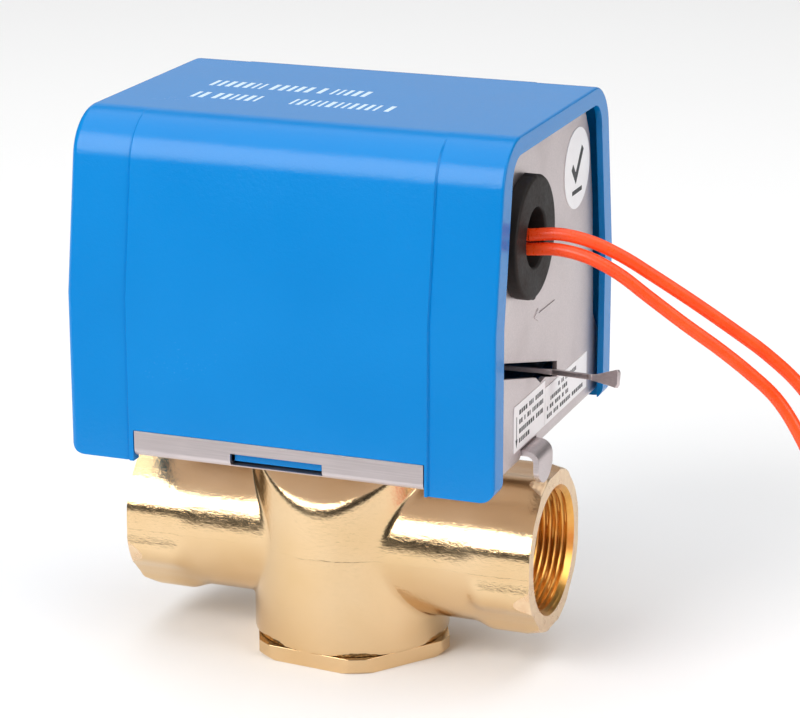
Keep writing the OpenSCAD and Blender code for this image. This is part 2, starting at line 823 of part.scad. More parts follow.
module cover() {
    end_hw = cover_hw - panel_step;
    color(BLUE) difference() {
        union() {
            difference() {
                union() {
                    cover_length(cover_x0, cover_x1, end_hw, cover_z1, top_r, cover_z0);
                    cover_length(-32, 30, cover_hw, cover_z1, top_r, cover_z0);
                }
                cover_length(cover_x0 + wall, cover_x1 - 1.3, cover_hw - wall - panel_step,
                    cover_z1 - wall, top_r - wall, cover_z0 - 1);
                // the open end is framed by a lip, wider at the sides than at the top
                cover_length(cover_x1 - 3, cover_x1 + 1, end_hw - 5, cover_z1 - 3.6, 5,
                    cover_z0 - 1);
                // the clip strips lie in these cut-outs
                at(-31, -50, cover_z0 - 1) cube([60.5, 100, strip_top + 0.1 - cover_z0 + 1]);
            }
            // tongues that reach down behind the clip strips' slots
            for (s = [-1, 1]) at(-9.9, s * 35.55 - 0.75, base_z + 1.2) cube([18.1, 1.5, 9]);
        }
        // round lower corners, seen from the front
        for (c = [[cover_x0, 0], [cover_x1, 1]])
            at(c[0], 0, cover_z0) mirror([c[1], 0, 0]) difference() {
                at(-1, -50, -1) cube([4, 100, 4]);
                at(3, -51, 3) rotate([-90, 0, 0]) cylinder(r = 3, h = 102);
            }
    }
}

module instruction_label() {
    color(WHITE) {
        at(end_x, -19.7, 50.6) cube([0.15, 19.1, 9.3]);
        at(end_x, -0.4, 50.6) cube([0.15, 27.4, 7.6]);
    }
}

module round_sticker() {
    color(WHITE) at(end_x, 18.4, 98.7) rotate([0, 90, 0]) cylinder(r = 8.2, h = 0.15);
}

// ---- leads ----

module inner_lead_a() { color(ORANGE) swept(inner_a_route, lead_d); }
module inner_lead_b() { color(ORANGE) swept(inner_b_route, lead_d); }
module lead_a() { color(ORANGE) swept(lead_a_route, lead_d); }
module lead_b() { color(ORANGE) swept(lead_b_route, lead_d); }

module lead_coil(c) {
    // outer shape of five turns, two side by side and three high
    color(ORANGE) at(c.x, c.y, coil_lift) rotate_extrude()
        translate([coil_r - coil_w / 2, 0]) square([coil_w, coil_h]);
}

module coil_tie(c) {
    // flat band round the bundle on the side away from the lead
    gap = 0.15;
    color(NYLON) at(c.x + coil_r, c.y, coil_lift) rotate([90, 0, 0])
        translate([0, 0, -1.5]) linear_extrude(3) difference() {
            translate([-coil_w / 2 - 0.5, -0.5]) square([coil_w + 1, coil_h + 1]);
            translate([-coil_w / 2 - gap, -gap]) square([coil_w + 2 * gap, coil_h + 2 * gap]);
        }
}

module lead_end(c, s) {
    // stripped and tinned end, level with the lead that lies on the coil
    color(TIN) at(c.x - 6, c.y + s * 14, coil_lift + coil_h + lead_d / 2) rotate([0, -90, 0])
        cylinder(r = 0.6, h = strip_back, $fn = 24);
}

module lead_coil_a() { lead_coil(coil_a_xy); }
module lead_coil_b() { lead_coil(coil_b_xy); }
module coil_tie_a() { coil_tie(coil_a_xy); }
module coil_tie_b() { coil_tie(coil_b_xy); }
module lead_end_a() { lead_end(coil_a_xy, 1); }
module lead_end_b() { lead_end(coil_b_xy, -1); }

valve_body();
bottom_cap();
cap_oring();
seat_ring();
stem_seals();
stem_bushing();
stem();
paddle_arm();
rubber_shoe();
drive_hub();
sector_gear();
drive_pin();
hub_clip();
return_spring();
spring_post();
base_plate();
lower_gear_plate();
upper_gear_plate();
base_spacers();
plate_spacers();
plate_screws();
idler_axle();
idler_gear();
motor_pinion();
motor_gearcase();
motor_can();
motor_coil();
motor_screws();
lead_block();
lever_stud();
manual_lever();
release_latch();
latch_rivets();
latch_spring();
cable_grommet();
cover();
instruction_label();
round_sticker();
inner_lead_a();
inner_lead_b();
lead_a();
lead_b();
lead_coil_a();
lead_coil_b();
coil_tie_a();
coil_tie_b();
lead_end_a();
lead_end_b();
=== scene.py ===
"""Looks for a motorised zone valve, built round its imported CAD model.

Shapes are written in millimetres and turned into metres when a mesh is made.
+X runs along the pipe towards the label and lever, +Z is up, and the base cap stands on z = 0.
"""
import json
import math
import random

import bmesh
import bpy
import numpy as np
import openvdb
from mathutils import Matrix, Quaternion, Vector


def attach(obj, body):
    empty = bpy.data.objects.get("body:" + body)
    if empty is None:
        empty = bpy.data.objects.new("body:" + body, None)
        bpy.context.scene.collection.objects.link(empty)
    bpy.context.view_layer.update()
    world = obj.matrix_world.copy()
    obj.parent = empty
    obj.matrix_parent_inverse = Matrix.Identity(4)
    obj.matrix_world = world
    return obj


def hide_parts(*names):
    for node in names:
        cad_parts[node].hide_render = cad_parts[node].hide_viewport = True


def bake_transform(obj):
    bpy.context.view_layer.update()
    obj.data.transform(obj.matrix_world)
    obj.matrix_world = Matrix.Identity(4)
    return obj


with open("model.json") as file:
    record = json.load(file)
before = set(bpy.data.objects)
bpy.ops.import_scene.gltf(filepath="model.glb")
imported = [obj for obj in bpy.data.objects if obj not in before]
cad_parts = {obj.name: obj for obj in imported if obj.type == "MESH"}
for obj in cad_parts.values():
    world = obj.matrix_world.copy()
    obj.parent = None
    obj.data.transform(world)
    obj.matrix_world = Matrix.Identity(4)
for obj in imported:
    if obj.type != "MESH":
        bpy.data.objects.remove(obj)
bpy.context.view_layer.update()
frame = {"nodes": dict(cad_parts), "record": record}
scene = bpy.context.scene
MM = 0.001

# sizes shared with the CAD model, in millimetres
PORT_X = 43.5
PIPE_Z = 24.4
PIPE_R = 16.0
BARREL_R = 20.1
END_X = 41.2
COVER_X = (-44.9, 43.4)
COVER_TOP = 114.1
COVER_HALF = 37.1
COVER_BOTTOM = 46.3
KNEE_Z = 79.0
LEAN = math.radians(8.5)
LEAD_D = 2.5

# the visual model's own thread, in millimetres
THREAD_R = 12.15
THREAD_PITCH = 1.3
THREAD_DEPTH = 0.34
THREAD_END = 15.2


# ---------------------------------------------------------------- camera

def add_camera():
    azimuth = math.radians(20.72)
    elevation = math.radians(16.78)
    back = Vector((
        math.sin(azimuth) * math.cos(elevation),
        -math.cos(azimuth) * math.cos(elevation),
        math.sin(elevation),
    ))
    data = bpy.data.cameras.new("camera")
    data.lens = 135
    data.sensor_width = 36
    data.clip_start = 0.02
    data.clip_end = 30
    camera = bpy.data.objects.new("camera", data)
    scene.collection.objects.link(camera)
    target = Vector((0.01052, 0, 0.06093))
    distance = 0.6021
    camera.location = target + back * distance
    camera.rotation_mode = "QUATERNION"
    roll = Quaternion((0, 0, 1), math.radians(-0.07))
    camera.rotation_quaternion = (-back).to_track_quat("-Z", "Y") @ roll
    scene.camera = camera


add_camera()


# ---------------------------------------------------------------- mesh helpers

def link(name, data):
    obj = bpy.data.objects.new(name, data)
    scene.collection.objects.link(obj)
    return obj


def mesh_piece(name, points, faces):
    """A new mesh object from points in millimetres."""
    mesh = bpy.data.meshes.new(name)
    mesh.from_pydata((np.array(points, float) * MM).tolist(), [], [list(f) for f in faces])
    mesh.validate()
    return link(name, mesh)


def edit(obj, *steps):
    """Runs bmesh steps on an object's mesh."""
    bm = bmesh.new()
    bm.from_mesh(obj.data)
    for step in steps:
        step(bm)
    bm.to_mesh(obj.data)
    bm.free()
    return obj


def outward(bm):
    bmesh.ops.recalc_face_normals(bm, faces=bm.faces)


def weld(bm):
    bmesh.ops.remove_doubles(bm, verts=bm.verts, dist=2e-6)


def flatten(bm):
    """Joins faces that lie in one plane."""
    bmesh.ops.dissolve_limit(
        bm, angle_limit=math.radians(0.6), verts=bm.verts, edges=bm.edges)


def bake(obj):
    """Turns an object's modifiers into its mesh."""
    graph = bpy.context.evaluated_depsgraph_get()
    mesh = bpy.data.meshes.new_from_object(obj.evaluated_get(graph))
    obj.modifiers.clear()
    obj.data = mesh
    return obj


def combine(obj, other, how="DIFFERENCE"):
    """Boolean of two closed meshes. The second one is used up."""
    if len(obj.data.materials) and not len(other.data.materials):
        other.data.materials.append(obj.data.materials[0])
    mod = obj.modifiers.new("combine", "BOOLEAN")
    mod.operation = how
    mod.object = other
    mod.solver = "MANIFOLD"
    mod.material_mode = "TRANSFER"
    bake(obj)
    bpy.data.objects.remove(other)
    return obj


def smooth(obj, angle=35):
    """Smooth shading that keeps edges sharper than angle."""
    limit = math.radians(angle)

    def shade(bm):
        for face in bm.faces:
            face.smooth = True
        for edge in bm.edges:
            edge.smooth = edge.calc_face_angle(0) < limit

    edit(obj, shade)
    mod = obj.modifiers.new("normals", "WEIGHTED_NORMAL")
    mod.keep_sharp = True
    bake(obj)
    return obj


def round_edges(obj, width, segments=2, angle=30, clamp=True):
    """Rounds the sharp edges by width millimetres and shades the result."""
    mod = obj.modifiers.new("round", "BEVEL")
    mod.width = width * MM
    mod.segments = segments
    mod.limit_method = "ANGLE"
    mod.angle_limit = math.radians(angle)
    mod.use_clamp_overlap = clamp
    mod.miter_outer = "MITER_ARC"
    bake(obj)
    return smooth(obj, 60)


def loft(name, rings, closed_ends=True):
    """Solid through rings that have the same number of points."""
    count = len(rings[0])
    faces = []
    for i in range(len(rings) - 1):
        for k in range(count):
            a = i * count + k
            b = i * count + (k + 1) % count
            faces.append((a, b, b + count, a + count))
    if closed_ends:
        faces.append(tuple(range(count)))
        faces.append(tuple((len(rings) - 1) * count + k for k in range(count)))
    obj = mesh_piece(name, [p for ring in rings for p in ring], faces)
    return edit(obj, outward)


def box_piece(name, low, high):
    rings = [
        [(low[0], low[1], z), (high[0], low[1], z), (high[0], high[1], z), (low[0], high[1], z)]
        for z in (low[2], high[2])
    ]
    return loft(name, rings)


def turned(name, profile, centre, axis="X", steps=96, wave=None):
    """Solid of revolution. The profile's pairs are (distance along the axis, radius), and its
    two ends are closed. wave(along, angle, radius) can change a radius."""
    rings = []
    for along, radius in profile:
        ring = []
        for k in range(steps):
            angle = 2 * math.pi * k / steps
            r = wave(along, angle, radius) if wave else radius
            u = r * math.cos(angle)
            v = r * math.sin(angle)
            if axis == "X":
                ring.append((centre[0] + along, centre[1] + u, centre[2] + v))
            else:
                ring.append((centre[0] + u, centre[1] + v, centre[2] + along))
        rings.append(ring)
    return loft(name, rings)


def ring_solid(name, profile, centre, axis="X", steps=96, wave=None):
    """Like turned, for a closed profile that stays clear of the axis."""
    obj = turned(name, list(profile) + [profile[0]], centre, axis, steps, wave)

    def open_ends(bm):
        caps = [f for f in bm.faces if len(f.verts) == steps]
        bmesh.ops.delete(bm, geom=caps, context="FACES_ONLY")

    return edit(obj, open_ends, weld, outward)


def smooth_route(points, spacing=1.2):
    """A smooth curve through points, with a point about every spacing millimetres."""
    p = np.array(points, float)
    p = np.vstack([2 * p[0] - p[1], p, 2 * p[-1] - p[-2]])
    out = []
    for i in range(1, len(p) - 2):
        steps = max(2, round(float(np.linalg.norm(p[i + 1] - p[i])) / spacing))
        for t in np.arange(steps) / steps:
            out.append(0.5 * (
                2 * p[i] + (p[i + 1] - p[i - 1]) * t
                + (2 * p[i - 1] - 5 * p[i] + 4 * p[i + 1] - p[i + 2]) * t ** 2
                + (3 * p[i] - p[i - 1] - 3 * p[i + 1] + p[i + 2]) * t ** 3
            ))
    out.append(p[-2])
    return np.array(out)


def wire(name, points, diameter, sides=4):
    """Round wire along points, as a curve of one open spline."""
    curve = bpy.data.curves.new(name, "CURVE")
    curve.dimensions = "3D"
    curve.bevel_depth = diameter / 2 * MM
    curve.bevel_resolution = sides
    curve.use_fill_caps = True
    spline = curve.splines.new("POLY")
    spline.points.add(len(points) - 1)
    for point, at in zip(spline.points, points):
        point.co = (at[0] * MM, at[1] * MM, at[2] * MM, 1)
    return link(name, curve)


def wire_mesh(name, points, diameter, sides=4):
    """The same as a mesh."""
    curve = wire(name + "_line", points, diameter, sides)
    graph = bpy.context.evaluated_depsgraph_get()
    mesh = bpy.data.meshes.new_from_object(curve.evaluated_get(graph))
    bpy.data.objects.remove(curve)
    obj = link(name, mesh)
    for face in mesh.polygons:
        face.use_smooth = True
    return obj


# ---------------------------------------------------------------- materials

class Paint:
    """A material with a Principled shader and short ways to add nodes to it."""

    def __init__(self, name, color, roughness, metallic=0.0, **sockets):
        self.material = bpy.data.materials.new(name)
        self.material.use_nodes = True
        self.nodes = self.material.node_tree.nodes
        self.links = self.material.node_tree.links
        self.shader = self.nodes["Principled BSDF"]
        self.material.diffuse_color = (*color, 1)
        self.put("Base Color", (*color, 1))
        self.put("Roughness", roughness)
        self.put("Metallic", metallic)
        for socket, value in sockets.items():
            self.put(socket.replace("_", " "), value)
        self.coords = self.nodes.new("ShaderNodeTexCoord").outputs["Object"]
        self.normal = None

    def put(self, socket, value):
        self.join(value, self.shader.inputs[socket])

    def join(self, value, socket):
        if isinstance(value, bpy.types.NodeSocket):
            self.links.new(value, socket)
        else:
            socket.default_value = value

    def node(self, kind, inputs=None, **settings):
        made = self.nodes.new("ShaderNode" + kind)
        for key, value in settings.items():
            setattr(made, key, value)
        for key, value in (inputs or {}).items():
            self.join(value, made.inputs[key])
        return made

    def place(self, scale=(1, 1, 1), offset=(0, 0, 0)):
        return self.node(
            "Mapping", {"Vector": self.coords, "Scale": scale, "Location": offset}
        ).outputs[0]

    def noise(self, scale, detail=3.0, rough=0.5, stretch=(1, 1, 1), warp=0.0):
        """Noise of about 1/scale metres a feature."""
        inputs = {"Vector": self.place(stretch), "Scale": scale, "Detail": detail,
                  "Roughness": rough, "Distortion": warp}
        return self.node("TexNoise", inputs).outputs["Fac"]

    def span(self, value, low, high, start=0.3, end=0.7):
        """Maps value from start..end to low..high."""
        inputs = {"Value": value, "From Min": start, "From Max": end,
                  "To Min": low, "To Max": high}
        return self.node("MapRange", inputs).outputs[0]

    def math(self, how, a, b=0.0):
        return self.node("Math", {0: a, 1: b}, operation=how).outputs[0]

    def mix(self, factor, a, b):
        """Mixes two colours."""
        made = self.node("Mix", data_type="RGBA")
        self.join(factor, made.inputs[0])
        self.join(a if isinstance(a, bpy.types.NodeSocket) else (*a, 1), made.inputs[6])
        self.join(b if isinstance(b, bpy.types.NodeSocket) else (*b, 1), made.inputs[7])
        return made.outputs[2]

    def bump(self, height, depth, strength=1.0):
        """Adds relief of depth millimetres."""
        inputs = {"Height": height, "Distance": depth * MM, "Strength": strength}
        if self.normal is not None:
            inputs["Normal"] = self.normal
        self.normal = self.node("Bump", inputs).outputs[0]
        self.put("Normal", self.normal)


def brass_forged():
    paint = Paint("brass_forged", (0.87, 0.64, 0.39), 0.2, 1.0)
    peel = paint.noise(1100, 3, 0.6)
    broad = paint.noise(60, 2)
    scratch = paint.noise(2200, 3, 0.6, (0.30, 1.0, 1.0), 0.3)
    paint.put("Base Color", paint.mix(
        paint.span(broad, 0, 1), (0.72, 0.500, 0.265), (0.78, 0.565, 0.33)))
    paint.put("Roughness", paint.math(
        "ADD", paint.span(broad, 0.11, 0.17), paint.span(scratch, 0.0, 0.09)))
    paint.bump(broad, 0.12)
    paint.bump(peel, 0.042)
    paint.bump(scratch, 0.030)
    # the forging's parting line, a thin wandering ridge near the height of the pipe axis
    height = paint.node("SeparateXYZ", {0: paint.coords}).outputs["Z"]
    wander = paint.math("MULTIPLY", paint.math("SUBTRACT", paint.noise(180), 0.5), 0.0010)
    off = paint.math("ABSOLUTE", paint.math(
        "SUBTRACT", paint.math("ADD", height, wander), 0.0233))
    paint.bump(paint.span(off, 1, 0, 0.0, 0.00025), 0.022)
    return paint.material


def brass_machined():
    paint = Paint("brass_machined", (0.86, 0.62, 0.38), 0.3, 1.0)
    rings = paint.node("TexWave", {
        "Vector": paint.place(offset=(0, 0, -PIPE_Z * MM)), "Scale": 1500.0,
        "Distortion": 0.6, "Detail": 1.0}, wave_type="RINGS", rings_direction="X").outputs[1]
    speck = paint.noise(500, 4)
    paint.put("Base Color", paint.mix(
        paint.span(speck, 0, 1), (0.80, 0.55, 0.33), (0.90, 0.69, 0.46)))
    paint.put("Roughness", paint.span(speck, 0.24, 0.38))
    paint.bump(rings, 0.012)
    paint.bump(speck, 0.03)
    return paint.material


def brass_thread():
    # the deeper, darker orange than the body is painted shade and painted brass-on-brass reflection
    # inside the ports
    paint = Paint("brass_thread", (0.80, 0.42, 0.10), 0.32, 1.0)
    speck = paint.noise(600, 4)
    paint.put("Base Color", paint.mix(
        paint.span(speck, 0, 1), (0.76, 0.38, 0.085), (0.84, 0.46, 0.13)))
    paint.put("Roughness", paint.span(speck, 0.28, 0.36))
    paint.bump(speck, 0.006)
    return paint.material


def cover_blue():
    paint = Paint("cover_blue", (0.0, 0.20, 0.56), 0.2, Specular_IOR_Level=0.27)
    grain = paint.noise(2600, 2, 0.5)
    spark = paint.noise(1100, 3, 0.6)
    broad = paint.noise(28, 2)
    paint.put("Base Color", paint.mix(
        paint.span(broad, 0, 1), (0.0, 0.190, 0.530), (0.0, 0.205, 0.562)))
    paint.put("Roughness", paint.math(
        "ADD", paint.span(broad, 0.19, 0.23), paint.span(grain, -0.02, 0.05)))
    paint.bump(grain, 0.022)
    paint.bump(spark, 0.03)
    return paint.material


def sheet_steel(name, color, rough, grain_axis):
    """Rolled sheet with fine lines along one axis."""
    paint = Paint(name, color, rough, 1.0)
    stretch = [1.0, 1.0, 1.0]
    stretch[grain_axis] = 0.02
    lines = paint.noise(3200, 3, 0.6, stretch)
    cloud = paint.noise(60, 3)
    dark = tuple(c * 0.90 for c in color)
    light = tuple(min(1.0, c * 1.08) for c in color)
    stain = tuple(c * 0.86 for c in color)
    paint.put("Base Color", paint.mix(
        paint.span(cloud, 0, 0.7, 0.52, 0.75), paint.mix(paint.span(lines, 0, 1), dark, light),
        stain))
    paint.put("Roughness", paint.math(
        "ADD", paint.span(cloud, rough - 0.05, rough + 0.06), paint.span(lines, -0.03, 0.05)))
    paint.bump(lines, 0.010)
    return paint.material


def plated(name, color, rough, tint):
    """Plated or ground metal with a faint blotchy tint."""
    paint = Paint(name, color, rough, 1.0)
    cloud = paint.noise(110, 3, 0.6, warp=0.5)
    fine = paint.noise(1500, 3)
    paint.put("Base Color", paint.mix(paint.span(cloud, 0, 1), color, tint))
    paint.put("Roughness", paint.math(
        "ADD", paint.span(cloud, rough - 0.05, rough + 0.05), paint.span(fine, -0.03, 0.04)))
    paint.bump(fine, 0.012)
    return paint.material


def rubber():
    paint = Paint("rubber_black", (0.022, 0.017, 0.016), 0.62, Specular_IOR_Level=0.25)
    fine = paint.noise(1400, 4, 0.6)
    bloom = paint.noise(160, 3)
    paint.put("Base Color", paint.mix(
        paint.span(bloom, 0, 1), (0.010, 0.008, 0.007), (0.022, 0.016, 0.014)))
    paint.put("Roughness", paint.math(
        "ADD", paint.span(bloom, 0.50, 0.66), paint.span(fine, -0.05, 0.08)))
    paint.bump(fine, 0.04)
    return paint.material


def moulded(name, color, rough, grain=0.015, **sockets):
    """Moulded plastic or film with a soft mottle."""
    paint = Paint(name, color, rough, **sockets)
    cloud = paint.noise(140, 3)
    fine = paint.noise(1700, 3)
    paint.put("Base Color", paint.mix(
        paint.span(cloud, 0, 1), tuple(c * 0.93 for c in color), color))
    paint.put("Roughness", paint.span(fine, rough - 0.05, rough + 0.07))
    paint.bump(fine, grain)
    return paint.material


def insulation():
    paint = Paint("lead_orange", (0.95, 0.075, 0.010), 0.3, Specular_IOR_Level=0.4,
                  Subsurface_Weight=0.06, Subsurface_Scale=0.0008)
    cloud = paint.noise(220, 3)
    fine = paint.noise(1500, 3)
    paint.put("Base Color", paint.mix(
        paint.span(cloud, 0, 1), (0.92, 0.062, 0.007), (0.98, 0.086, 0.014)))
    paint.put("Roughness", paint.span(fine, 0.24, 0.36))
    paint.bump(fine, 0.02)
    return paint.material


def winding():
    paint = Paint("copper", (0.62, 0.24, 0.10), 0.3, 1.0)
    turns = paint.node("TexWave", {"Vector": paint.coords, "Scale": 700.0, "Distortion": 0.8,
                                   "Detail": 1.0}, bands_direction="Z").outputs[1]
    # the colour darkens in the grooves between turns and lightens on their crowns, following the
    # bump: painted shade in the grooves and a painted highlight on the wire
    paint.put("Base Color", paint.mix(
        paint.span(turns, 0, 1), (0.45, 0.15, 0.06), (0.72, 0.32, 0.15)))
    paint.put("Roughness", paint.span(turns, 0.4, 0.25))
    paint.bump(turns, 0.12)
    return paint.material


materials = {
    "brass": brass_forged(),
    "cover_blue": cover_blue(),
    "stainless": sheet_steel("stainless", (0.66, 0.59, 0.59), 0.43, 0),
    "steel_zinc": plated("steel_zinc", (0.76, 0.77, 0.80), 0.34, (0.78, 0.77, 0.71)),
    "steel_bright": plated("steel_bright", (0.66, 0.66, 0.66), 0.22, (0.60, 0.60, 0.61)),
    "motor_steel": plated("motor_steel", (0.56, 0.58, 0.61), 0.36, (0.50, 0.52, 0.54)),
    "copper": winding(),
    "rubber_black": rubber(),
    "nylon": moulded("nylon", (0.78, 0.75, 0.64), 0.42, Subsurface_Weight=0.15,
                     Subsurface_Scale=0.002),
    "label_white": moulded("label_white", (0.90, 0.89, 0.90), 0.42, 0.006),
    "lead_orange": insulation(),
    "tie_white": moulded("tie_white", (0.76, 0.76, 0.73), 0.40),
    "tinned_wire": plated("tinned_wire", (0.74, 0.75, 0.76), 0.28, (0.62, 0.63, 0.64)),
}
machined = brass_machined()
threaded = brass_thread()
ink_black = moulded("ink_black", (0.020, 0.020, 0.022), 0.5, 0.004)
ink_pale = moulded("ink_pale", (0.62, 0.78, 0.90), 0.45, 0.004)

slots = {part["node"]: part["material_slot"] for part in frame["record"]["subparts"]}
for node, obj in frame["nodes"].items():
    obj.data.materials.clear()
    obj.data.materials.append(materials[slots[node]])


def finish_piece(obj, body, nodes=(), slot=None, material=None):
    """Gives a piece its material, taken from slot unless one is given, attaches it to its body, and
    hides the CAD nodes it stands for.
    """
    if not len(obj.data.materials):
        obj.data.materials.append(material or materials[slot])
    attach(obj, body)
    if nodes:
        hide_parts(*nodes)
    return obj


# ---------------------------------------------------------------- leads

LEAD_ROUTE_A = [
    (44.2, -19.8, 94.4), (50, -19.5, 95), (56, -19.2, 94), (62, -19, 91.7), (68, -18.8, 88.5),
    (76, -18.6, 84), (84, -18.4, 79.2), (90, -18.2, 75.3), (96, -18, 70.3), (101, -18, 64),
    (105, -18, 56), (108, -18, 47), (110.5, -18, 37), (112.5, -18, 27), (114.5, -18, 18),
    (118, -18, 9.5), (123, -18, 4.2), (130, -18.8, 2), (137, -19.3, 1.9),
]
LEAD_ROUTE_B = [
    (44.2, -19.9, 91.7), (50, -20.3, 92.2), (56, -20.7, 91.3), (62, -21, 88.8), (68, -21.3, 85),
    (75, -21.6, 80.6), (82, -22, 76.5), (88, -22.3, 72.5), (93, -22.6, 68.5), (97, -23, 63.3),
    (100.5, -23, 56.5), (103, -23, 48), (105, -23, 38), (107, -23, 28), (109.5, -23, 18.5),
    (113, -23, 10), (118, -23, 4.4), (126, -23, 2.1), (137, -22.7, 1.9),
]
INNER_ROUTE_A = [
    (8.2, -1, 89), (9.8, -1, 89), (14, -3, 89.3), (22, -8, 90.3), (30, -14, 92),
    (37, -18.4, 93.8), (44.2, -19.8, 94.4),
]
INNER_ROUTE_B = [
    (8.2, -5, 86), (9.8, -5, 86), (14, -7, 86.2), (22, -11.5, 87.2), (30, -16, 89),
    (37, -19.2, 91), (44.2, -19.9, 91.7),
]
COILS = {"a": (137, -4, 1), "b": (137, -38, -1)}


def coil_points(centre_x, centre_y, sense):
    """Five and a half turns from the near side of the coil, then a short straight tail."""
    seats = [(15.3, 1.9), (12.7, 1.9), (12.7, 4.5), (15.3, 4.5), (15.3, 7.1), (12.7, 7.1)]
    turns = 5.5
    lift_from = 5.28
    tail_at = (14.0, 9.75)
    points = []
    per_turn = 28
    for i in range(1, round(turns * per_turn) + 1):
        turn = i / per_turn
        k = int(turn)
        radius, height = seats[k]
        change = max(0.0, (turn - k - 0.82) / 0.18)
        change = change * change * (3 - 2 * change)
        if k + 1 < len(seats):
            radius += (seats[k + 1][0] - radius) * change
            height += (seats[k + 1][1] - height) * change
        if turn > lift_from:
            lift = (turn - lift_from) / (turns - lift_from)
            lift = lift * lift * (3 - 2 * lift)
            radius += (tail_at[0] - seats[-1][0]) * lift
            height += (tail_at[1] - seats[-1][1]) * lift
        angle = sense * (-math.pi / 2 + 2 * math.pi * turn)
        points.append((centre_x + radius * math.cos(angle),
                       centre_y + radius * math.sin(angle), height))
    for back in (3, 6):
        points.append((centre_x - back, centre_y + sense * tail_at[0], tail_at[1]))
    return points


def coil_tie(name, centre_x, centre_y):
    """Nylon tie round the bundle, with a head and a trimmed tail."""
    rings = []
    outline = []
    for corner_x, corner_z, start in ((15.6, 7.5, 0), (12.4, 7.5, 90), (12.4, 1.6, 180),
                                      (15.6, 1.6, 270)):
        for step in range(7):
            angle = math.radians(start + 15 * step)
            outline.append((corner_x, corner_z, angle))
    for y, grow in ((-1.3, 1.1), (-1.3, 1.62), (1.3, 1.62), (1.3, 1.1)):
        rings.append([
            (centre_x + x + grow * math.cos(a), centre_y + y, z + grow * math.sin(a))
            for x, z, a in outline
        ])
    band = loft(name, rings + [rings[0]], closed_ends=False)
    edit(band, weld, outward)
    head = box_piece(name + "_head", (centre_x + 16.8, centre_y - 2.1, 2.6),
                     (centre_x + 19.0, centre_y + 2.1, 6.4))
    tail = box_piece(name + "_tail", (centre_x + 17.6, centre_y - 1.2, 6.2),
                     (centre_x + 18.2, centre_y + 1.2, 9.4))
    combine(band, head, "UNION")
    combine(band, tail, "UNION")
    return round_edges(band, 0.15)


def stripped_end(name, start, length=8.0):
    """Seven tinned strands with a light twist, running towards -X."""
    parts = []
    for k in range(7):
        radius = 0.0 if k == 0 else 0.40
        points = []
        for i in range(17):
            t = i / 16
            angle = math.radians(60 * k + 200 * t)
            points.append((start[0] - length * t, start[1] + radius * math.cos(angle),
                           start[2] + radius * math.sin(angle)))
        parts.append(wire_mesh(f"{name}_strand_{k}", points, 0.40, 2))
    return join(name, parts)


def join(name, parts):
    """One mesh object from several."""
    bm = bmesh.new()
    for part in parts:
        bm.from_mesh(part.data)
    mesh = bpy.data.meshes.new(name)
    bm.to_mesh(mesh)
    bm.free()
    for part in parts:
        bpy.data.objects.remove(part)
    return link(name, mesh)


def add_lead(letter, route, inner_route):
    centre_x, centre_y, sense = COILS[letter]
    line = np.vstack([smooth_route(route)[:-1], smooth_route([route[-1]] + coil_points(
        centre_x, centre_y, sense), 1.6)])
    lead = wire(f"lead_{letter}_insulation", line, LEAD_D)
    finish_piece(lead, "base", [f"lead_{letter}", f"lead_coil_{letter}"], "lead_orange")
    inner = wire(f"inner_lead_{letter}_insulation", smooth_route(inner_route), LEAD_D)
    finish_piece(inner, "base", [f"inner_lead_{letter}"], "lead_orange")
    tie = coil_tie(f"coil_tie_{letter}_band", centre_x, centre_y)
    finish_piece(tie, "base", [f"coil_tie_{letter}"], "tie_white")
    end = stripped_end(f"lead_end_{letter}_strands", (centre_x - 5, centre_y + sense * 14, 9.75), 9)
    finish_piece(end, "base", [f"lead_end_{letter}"], "tinned_wire")


add_lead("a", LEAD_ROUTE_A, INNER_ROUTE_A)
add_lead("b", LEAD_ROUTE_B, INNER_ROUTE_B)


# ---------------------------------------------------------------- valve body

def soft_min(a, b, k):
    """Smooth union of two distances over a blend of k millimetres."""
    h = np.clip(0.5 + 0.5 * (b - a) / k, 0, 1)
    return b + (a - b) * h - k * h * (1 - h)


def soft_max(a, b, k):
    return -soft_min(-a, -b, k)


def forging(x, y, z):
    """Distance in millimetres to the skin of the valve body's forging."""
    up = z - PIPE_Z
    ax = np.abs(x)
    # the eight soft corners near each end, for a wrench, fainter on the upper slopes
    corner = (0.5 - 0.5 * np.cos(8 * np.arctan2(up, y))) ** 1.5
    ramp = np.clip((ax - 29.0) / 4.5, 0, 1)
    corner = corner * ramp * ramp * (3 - 2 * ramp)
    corner = corner * (1 - 0.9 * np.exp(-((up - 6.5) / 5.0) ** 2))
    pipe = np.sqrt(y ** 2 + up ** 2) - PIPE_R - 1.25 * corner
    body = soft_max(pipe, ax - (PORT_X + 1.0), 0.2)
    # barrel with its top rounded across the pipe
    barrel = np.sqrt(x ** 2 + y ** 2) - BARREL_R
    dome = np.sqrt(y ** 2 + np.maximum(z - 22.8, 0.0) ** 2) - 23.0
    barrel = soft_max(barrel, dome, 1.0)
    barrel = soft_max(barrel, 3.2 - z, 0.5)
    barrel = soft_max(barrel, z - 44.0, 1.0)
    body = soft_min(body, barrel, 0.7)
    flange = soft_max(np.sqrt(x ** 2 + y ** 2) - 14.0, z - 46.0, 0.5)
    flange = soft_max(flange, 38.0 - z, 0.5)
    return soft_min(body, flange, 1.2)


